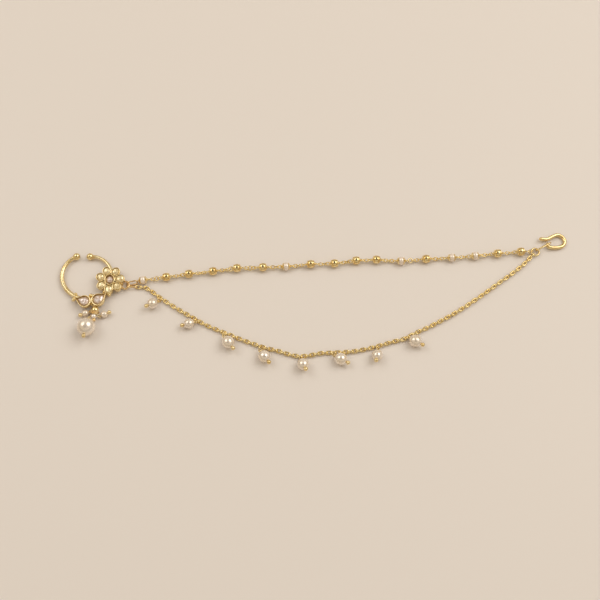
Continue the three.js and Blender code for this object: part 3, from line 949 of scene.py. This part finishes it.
def addDrop(row, name, node, seed):
    stand = dropFrame(row)
    body = put(pearl(name + "Pearl", row["across"], row["along"], seed), stand)
    fitted(body, pearlShell, "pearl", node + "_pearl")
    fitted(put(headPin(name + "Pin", row["along"]), stand), castGold, "gold", node + "_pin")


for i, row in enumerate(clusterDrops):
    addDrop(row, row["name"], row["node"], 3 + i)
for i, row in enumerate(chainDrops):
    addDrop(row, f"drop{i + 1}", f"drop_{i + 1}", 11 + i)
print("pearl drops made")


# ---- pearl cluster: round bead, frilled cap and the small drop under it

cluster = dict(
    x=-88.8, y=-4.95, z=1.95, radius=1.6, frills=8,
    beadTurns=[  # distance from the middle and radius, out to one end
        (0.10, 1.575), (0.30, 1.547), (0.50, 1.495), (0.70, 1.412), (0.90, 1.294), (1.10, 1.129),
        (1.25, 0.96), (1.38, 0.761), (1.47, 0.568), (1.53, 0.378)],
    capSteps=[(1.50, 0.30), (1.44, 0.95), (1.22, 1.40), (0.98, 1.66), (0.86, 1.87)],  # distance down, radius
    capWall=0.14, frillRise=0.16, frillPinch=0.05,
    bottom=dict(x=-89.1, y=-7.75, z=2.3, radius=1.15, ball=0.76, sunk=0.45, squash=0.3,
                turnDeg=-78, riseDeg=8),
)


def clusterBead():  # a polished round bead, strung along Y
    bead = smooth(turnedShell("clusterBead", bothWays(cluster["beadTurns"]), 36), 40)
    return put(bead, turned(90, "Z"))


def clusterCap():  # a frilled cup under the bead, widest where it opens
    down, reach = cluster["capSteps"][0]
    deselectAll()
    bpy.ops.mesh.primitive_circle_add(
        vertices=64, radius=reach * mm, location=(0, -down * mm, 0), rotation=(math.pi / 2, 0, 0))
    cap = started("clusterCap")
    openWhole(cap)
    extrudeRings(cluster["capSteps"], (0, -1, 0))
    reach = cluster["capSteps"][-1][1]
    bpy.ops.object.mode_set(mode="OBJECT")
    for vertex in cap.data.vertices:
        turn = math.atan2(vertex.co.z, vertex.co.x)
        share = math.hypot(vertex.co.x, vertex.co.z) / (reach * mm)
        wave = math.cos(turn * cluster["frills"]) * share ** 4
        vertex.co.y += wave * cluster["frillRise"] * mm
        pinch = 1 + cluster["frillPinch"] * (wave - 1) * share
        vertex.co.x *= pinch
        vertex.co.z *= pinch
    openMesh(cap)
    closeMesh()
    wall = cap.modifiers.new("wall", "SOLIDIFY")
    wall.thickness = cluster["capWall"] * mm
    wall.offset = 0
    bpy.ops.object.modifier_apply(modifier=wall.name)
    return smooth(cap, 50)


def addCluster():
    spot = Matrix.Translation(origin + spotOf(cluster))
    fitted(put(clusterBead(), spot), polishedGold, "gold", "cluster_bead")
    fitted(put(clusterCap(), spot), roseGold, "gold", "cluster_bead")
    row = cluster["bottom"]
    stand = standing(origin + spotOf(row), row["turnDeg"] + 90, -row["riseDeg"])
    body = put(pearl("clusterBottomPearl", row["radius"], row["radius"], 31), stand)
    fitted(body, pearlShell, "pearl", "cluster_bottom_drop")
    ball = newBall("clusterBottomBall", row["ball"], 28, 18)
    under = openMesh(ball)
    pick(ball, under.faces, lambda face: face.normal.y > 0.8)
    bpy.ops.transform.resize(value=(1, row["squash"], 1))
    closeMesh()
    smooth(ball, 60)
    seat = stand @ Matrix.Translation((0, -(row["radius"] + row["ball"] * row["sunk"]) * mm, 0))
    fitted(put(ball, seat), roseGold, "gold", "cluster_bottom_drop")


addCluster()
print("cluster made")


# ---- connector: ring, two stretched links, end ring and hook link

roundRings = [  # each is cut at its gap
    dict(name="connectorRing", node="connector_ring", x=-77.57, y=6.4, z=1.0, radius=1.6, wire=0.35,
         gapTurnDeg=200, metal=roseGold),
    dict(name="endRing", node="end_ring", **endRing, gapTurnDeg=215, metal=polishedGold),
]
ovalLinks = [
    dict(name="strandLink", node="strand_link", x=-74.8, y=7.3, radius=0.8, wire=0.28, straight=1.3,
         turnDeg=12, leanDeg=-40, metal=roseGold),
    dict(name="chainLink", node="chain_link", x=-74.8, y=5.7, radius=0.8, wire=0.28, straight=1.3,
         turnDeg=-3, leanDeg=30, metal=roseGold),
    dict(name="hookLink", node="hook_link", x=94.12, y=23.49, radius=1.2, wire=0.26, straight=2.32,
         turnDeg=29.5, leanDeg=20, metal=polishedGold),
]


def stretchedLink(name, radius, wire, straight):  # a racetrack of wire that lies in XZ
    arcSteps = 9
    points = []
    for side, fromDeg in ((1, -90), (-1, 90)):
        for i in range(arcSteps + 1):
            turn = math.radians(fromDeg + 180 * i / arcSteps)
            along = side * straight + radius * math.cos(turn)
            points.append(Vector((along, 0, radius * math.sin(turn))) * mm)
    return bentWire(name, points, wire * mm, closed=True)


def addConnectors():
    for row in roundRings:
        circle = wireRing(row["name"], row["radius"], row["wire"], segments=48, sides=16, gapDeg=3.0)
        stand = standing(origin + spotOf(row), row["gapTurnDeg"])
        fitted(put(circle, stand), row["metal"], "gold", row["node"])
    for row in ovalLinks:
        link = stretchedLink(row["name"], row["radius"], row["wire"], row["straight"])
        place = at(row["x"], row["y"], row["radius"] + row["wire"])
        stand = standing(place, row["turnDeg"], row["leanDeg"])
        fitted(put(link, stand), row["metal"], "gold", row["node"])


addConnectors()
print("rings and links made")


# ---- hook

hook = dict(
    wire=0.74, height=0.75, restX=103.4, tiltDeg=4.4, steps=8,
    route=[(92.6, 26.95), (95.9, 26.95), (98.4, 28.25), (100.6, 29.03), (102.6, 28.1), (103.36, 26.1),
           (102.35, 24.1), (100.0, 23.3), (97.3, 23.25), (96.05, 23.8), (95.95, 25.3)],
)


def addHook():
    points = [Vector((x - hook["restX"], y, hook["height"])) * mm for x, y in hook["route"]]
    for end, inner in ((0, 1), (-1, -2)):  # room for the rounded tips
        points[end] = points[end] + (points[inner] - points[end]).normalized() * hook["wire"] * mm
    line = throughPoints(points, hook["steps"])
    wire = bentWire("hairHook", line, hook["wire"] * mm, sides=20)
    stand = Matrix.Translation(at(hook["restX"], 0)) @ turned(hook["tiltDeg"], "Y")
    fitted(put(wire, stand), polishedGold, "gold", "hook")


addHook()
print("hook made")


# ---- cable chain

chain = dict(
    height=0.93, pitch=1.7, wire=0.31, width=0.60, straight=0.55, lieDeg=26, wobbleDeg=7, steps=8, seed=7,
    route=[(-72.95, 5.6), (-69.6, 5.4), (-66.7, 3.7), (-64.0, 1.6), (-59.0, -1.9), (-54.0, -5.1),
           (-49.0, -8.0), (-44.1, -10.9), (-39.2, -13.1), (-34.4, -15.1), (-29.5, -17.2), (-24.7, -19.0),
           (-19.9, -20.7), (-15.1, -21.9), (-10.4, -23.4), (-6.4, -24.1), (-2.4, -23.7), (1.5, -22.9),
           (6.3, -22.6), (11.1, -22.4), (15.8, -21.9), (20.6, -20.9), (25.4, -19.6), (30.2, -18.1),
           (35.1, -16.8), (40.0, -14.2), (44.9, -11.9), (49.8, -9.3), (54.8, -6.5), (59.8, -3.3),
           (64.9, 0.2), (70.0, 3.9), (75.2, 7.8), (80.4, 11.6), (85.7, 15.9), (89.9, 20.4)],
)


def smallLink(name, radius, wire, straight):  # a torus drawn out along X
    segments = 18
    deselectAll()
    bpy.ops.mesh.primitive_torus_add(
        major_segments=segments, minor_segments=6, major_radius=radius * mm, minor_radius=wire * mm,
        rotation=(0, 0, math.pi / segments))
    link = started(name)
    for side in (1, -1):
        mesh = openMesh(link, "VERT")
        pick(link, mesh.verts, lambda v: v.co.x * side > 0)
        bpy.ops.transform.translate(value=(side * straight * mm, 0, 0))
    closeMesh()
    return softened(link)


def addChain():
    link = smallLink("cableLink", chain["width"], chain["wire"], chain["straight"])
    line = throughPoints([at(x, y, chain["height"]) for x, y in chain["route"]], chain["steps"])
    draw = random.Random(chain["seed"])
    copies = []
    for i, (place, direction) in enumerate(evenly(line, chain["pitch"] * mm, 2)):
        roll = chain["lieDeg"] + 90 * (i % 2) + draw.uniform(-1, 1) * chain["wobbleDeg"]
        copies.append(stoodCopy(link, f"cableLink{i}", threaded(place, direction, roll)))
    removed(link)
    fitted(joinedAs("cableChainLinks", copies), chainGold, "gold", "cable_chain")
    return line


chainLine = addChain()
print("chain made")


# ---- beaded strand

strand = dict(
    height=1.75, radius=1.72,
    linkPitch=1.34, linkRadius=0.62, linkWire=0.21, linkStraight=0.32, sag=0.5,
    start=(-72.2, 7.95), end=(89.45, 21.3),
    beads=[(-70.4, 8.3), (-60.9, 9.7), (-51.8, 11.1), (-42.0, 12.3), (-32.2, 13.7), (-21.6, 14.1),
           (-12.1, 14.4), (-2.0, 15.5), (7.7, 15.8), (16.7, 17.1), (25.0, 17.5), (35.1, 16.9),
           (45.4, 17.8), (56.0, 18.4), (65.7, 19.2), (75.0, 20.3), (84.6, 21.1)],
    pale=(1, 7, 12, 14, 15),
    cutSides=28, cutTurns=[  # distance from the middle and radius, out to one end
        (0.10, 1.72), (0.32, 1.71), (0.52, 1.68), (0.68, 1.62), (0.75, 1.50), (0.82, 1.38), (0.90, 1.50),
        (1.02, 1.58), (1.16, 1.56), (1.28, 1.44), (1.34, 1.28), (1.44, 1.20), (1.54, 1.02), (1.60, 0.74)],
    paleHalf=1.5,
    cutCapTurns=[  # the same, from the cap's open mouth to its end
        (1.12, 1.0), (1.28, 1.06), (1.42, 0.94), (1.58, 0.66), (1.72, 0.50), (1.84, 0.46), (1.84, 0.24)],
    paleCapTurns=[
        (0.90, 1.40), (0.97, 1.50), (1.12, 1.50), (1.28, 1.34), (1.46, 1.04), (1.64, 0.74), (1.78, 0.52),
        (1.84, 0.46), (1.84, 0.24)],
    eyeAt=1.95, eyeRadius=0.36, eyeWire=0.15, eyeRollDeg=35, beadRollDeg=37,
    seed=5, shortestGap=0.8, sagSpan=6, linkRollDeg=50, linkWobbleDeg=12, openRollDeg=14,
    openRings={1: 0.62, 4: 0.8, 5: 0.4, 12: 0.25},  # gap after this bead: how far along it
    openRadius=0.88, openWire=0.2,
)


def cutBead():  # a turned barrel with two deep grooves and a bead at each end
    return smooth(turnedShell("cutBead", bothWays(strand["cutTurns"]), strand["cutSides"]), 30)


def paleBead():
    core = newBall("paleBead", strand["radius"], 32, 20, (0, 90, 0))
    openWhole(core)
    bpy.ops.transform.resize(value=(strand["paleHalf"] / strand["radius"], 1, 1))
    closeMesh()
    return smooth(core, 80)


def beadCap(turns):  # a small turned cup and the eye of the wire beyond it
    cup = smooth(turnedShell("beadCup", turns, strand["cutSides"]), 40)
    eye = wireRing("beadEye", strand["eyeRadius"], strand["eyeWire"], segments=16, sides=8)
    put(eye, Matrix.Translation((strand["eyeAt"] * mm, 0, 0)) @ turned(strand["eyeRollDeg"], "X"))
    return joinedAs("beadCap", [cup, eye])


def addStrandBeads(places):
    cores = {False: cutBead(), True: paleBead()}
    caps = {False: beadCap(strand["cutCapTurns"]), True: beadCap(strand["paleCapTurns"])}
    for i in range(1, len(places) - 1):
        direction = (places[i + 1] - places[i - 1]).normalized()
        roll = turned(strand["beadRollDeg"] * i, "X")
        stand = threaded(places[i], direction)
        pale = i in strand["pale"]
        node = f"strand_bead_{i}"
        core = copied(cores[pale], f"strandBead{i}", stand @ roll)
        fitted(core, paleCrystal if pale else polishedGold, "pearl" if pale else "gold", node)
        ends = [copied(caps[pale], f"capA{i}", stand),
                copied(caps[pale], f"capB{i}", stand @ turned(180, "Z"))]
        fitted(joinedAs(f"strandCaps{i}", ends), castGold, "gold", node)
    for piece in [*cores.values(), *caps.values()]:
        removed(piece)


def gapLine(start, end, sag):  # the short sagging line between two beads
    points, steps = [], 12
    for i in range(steps + 1):
        share = i / steps
        place = start.lerp(end, share)
        place.z -= sag * math.sin(math.pi * share) * mm
        points.append(place)
    return points


def addStrandLinks(places):
    link = smallLink("strandLinkSmall", strand["linkRadius"], strand["linkWire"], strand["linkStraight"])
    ring = wireRing("strandRingSmall", strand["openRadius"], strand["openWire"], segments=24, sides=8)
    half = strand["eyeAt"]
    draw = random.Random(strand["seed"])
    copies = []
    for gap in range(len(places) - 1):
        direction = (places[gap + 1] - places[gap]).normalized()
        start = places[gap] + direction * (half * mm if gap > 0 else 0)
        end = places[gap + 1] - direction * (half * mm if gap < len(places) - 2 else 0)
        wanted = strand["openRings"].get(gap)
        span = (end - start).length
        if span < strand["shortestGap"] * mm:
            continue
        line = gapLine(start, end, strand["sag"] * span / (strand["sagSpan"] * mm))
        spots = evenly(line, strand["linkPitch"] * mm)
        opened = None if wanted is None else round(wanted * len(spots) - 0.5)
        for i, (place, heading) in enumerate(spots):
            if i == opened:
                master, roll = ring, strand["openRollDeg"]
            else:
                wobble = draw.uniform(-strand["linkWobbleDeg"], strand["linkWobbleDeg"])
                master, roll = link, strand["linkRollDeg"] * (1 if i % 2 else -1) + wobble
            copies.append(stoodCopy(master, f"strandLinkSmall{gap}_{i}", threaded(place, heading, roll)))
    removed(link)
    removed(ring)
    fitted(joinedAs("strandLinks", copies), chainGold, "gold", "strand_thread")


strandPlaces = [at(x, y, strand["height"]) for x, y in [strand["start"], *strand["beads"], strand["end"]]]
addStrandBeads(strandPlaces)
addStrandLinks(strandPlaces)
print("strand made")


# ---- jump rings and small links that hold the drops

dropRing = dict(wire=0.16, smallest=0.55, lap=0.12, tiltDeg=60, lift=0.02)
clusterLink = dict(wire=0.15, radius=0.42, lap=0.3, shortest=0.05, rollDeg=50, knot=(-0.2, -1.75, 0.6))


def loopPlace(row):  # the middle of a head pin's loop
    return dropFrame(row) @ Vector((0, (row["along"] + pin["neck"] + pin["loop"]) * mm, 0))


def addDropRings():
    for i, row in enumerate(chainDrops):
        top = loopPlace(row)
        nearest = min(chainLine, key=lambda place: (place - top).length)
        radius = max(dropRing["smallest"] * mm, (nearest - top).length / 2 + dropRing["lap"] * mm)
        tilt = math.radians(dropRing["tiltDeg"])
        circle = wireRing(f"dropRing{i + 1}", radius / mm, dropRing["wire"], segments=24, sides=10, gapDeg=5)
        centre = (nearest + top) / 2
        lowest = radius * math.sin(tilt) + dropRing["wire"] * mm
        centre.z = max(centre.z, lowest + dropRing["lift"] * mm)
        heading = nearest - top
        heading.z = 0
        stand = threaded(centre, heading.normalized(), dropRing["tiltDeg"])
        fitted(put(circle, stand), chainGold, "gold")


def addClusterLinks():
    knot = origin + spotOf(cluster) + Vector(clusterLink["knot"]) * mm  # under the bead's cap
    hang = hoopFrame @ spotOf(trimmings["clusterLoop"])
    bead = at(cluster["x"], cluster["y"] + cluster["radius"], cluster["z"])  # its top
    ends = [(loopPlace(row), knot) for row in clusterDrops] + [(bead, hang)]
    for i, (start, end) in enumerate(ends):
        reach = (end - start).length / mm / 2 + clusterLink["lap"]
        straight = max(clusterLink["shortest"], reach - clusterLink["radius"])
        link = stretchedLink(f"clusterLink{i + 1}", clusterLink["radius"], clusterLink["wire"], straight)
        stand = threaded((start + end) / 2, (end - start).normalized(), clusterLink["rollDeg"])
        fitted(put(link, stand), polishedGold, "gold")


addDropRings()
addClusterLinks()
print("drop rings made")
